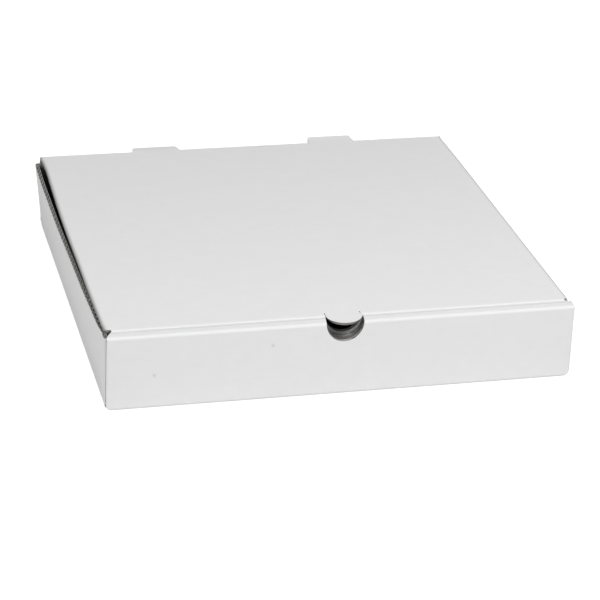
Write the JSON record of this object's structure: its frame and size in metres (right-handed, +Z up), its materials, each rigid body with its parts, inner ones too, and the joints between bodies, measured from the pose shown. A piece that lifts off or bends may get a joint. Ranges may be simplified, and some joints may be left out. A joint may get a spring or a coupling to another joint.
{
  "type": "pizza box",
  "caption": "Flat square corrugated pizza box with a rolled front wall, finger notch and tuck-in hinged lid.",
  "frame": {"origin": "middle of the underside of the tray's floor", "axes": "+X to the right seen from the front, +Y from the front towards the lid's fold, +Z up"},
  "size_m": [0.316, 0.32, 0.0549],
  "materials": {
    "tray_board": "white corrugated board, matt",
    "lid_board": "white corrugated board, matt"
  },
  "bodies": {
    "tray": {"tray": "tray_board"},
    "lid": {"lid": "lid_board"}
  },
  "joints": [
    {"name": "lid_fold", "type": "hinge", "parent": "tray", "child": "lid", "pos_m": [0, 0.1536, 0.0534], "axis": [-1, 0, 0], "range_deg": [0, 180]}
  ]
}
